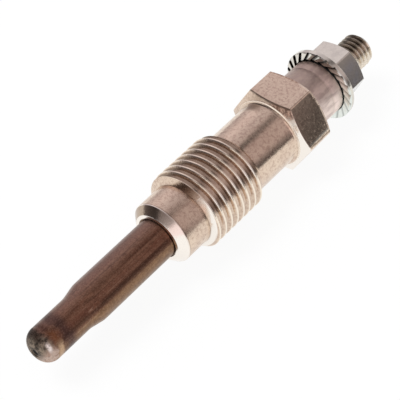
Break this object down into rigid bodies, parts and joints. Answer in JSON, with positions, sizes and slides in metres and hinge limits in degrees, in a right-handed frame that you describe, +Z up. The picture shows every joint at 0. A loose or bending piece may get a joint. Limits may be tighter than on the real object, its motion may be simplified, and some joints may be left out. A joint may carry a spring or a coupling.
{
  "type": "diesel glow plug",
  "caption": "Sheathed-element diesel glow plug: slim heater tube with a swaged tip, threaded and hexagonal plated housing, insulated terminal stud with a serrated flange nut.",
  "frame": {"origin": "on the ground below the middle of the plug's length, with the plug lying on its side", "axes": "+X along the plug from the heater's tip to the terminal stud, +Z up, a flat of the hexagon on top"},
  "size_m": [0.0693, 0.0138, 0.012],
  "materials": {
    "nickel_plated_steel": "satin",
    "oxidised_alloy": "satin",
    "heating_wire": "satin",
    "control_wire": "satin",
    "magnesia": "matte",
    "seal_rubber": "matte",
    "terminal_steel": "satin",
    "black_plastic": "matte",
    "zinc_plated_steel": "satin"
  },
  "bodies": {
    "root": {"housing": "nickel_plated_steel", "heater_sheath": "oxidised_alloy", "heating_coil": "heating_wire", "control_coil": "control_wire", "magnesia_filling": "magnesia", "sheath_seal": "seal_rubber", "terminal_rod": "terminal_steel", "seal_ring": "seal_rubber", "insulating_bush": "black_plastic", "flange_nut": "zinc_plated_steel"}
  },
  "joints": []
}
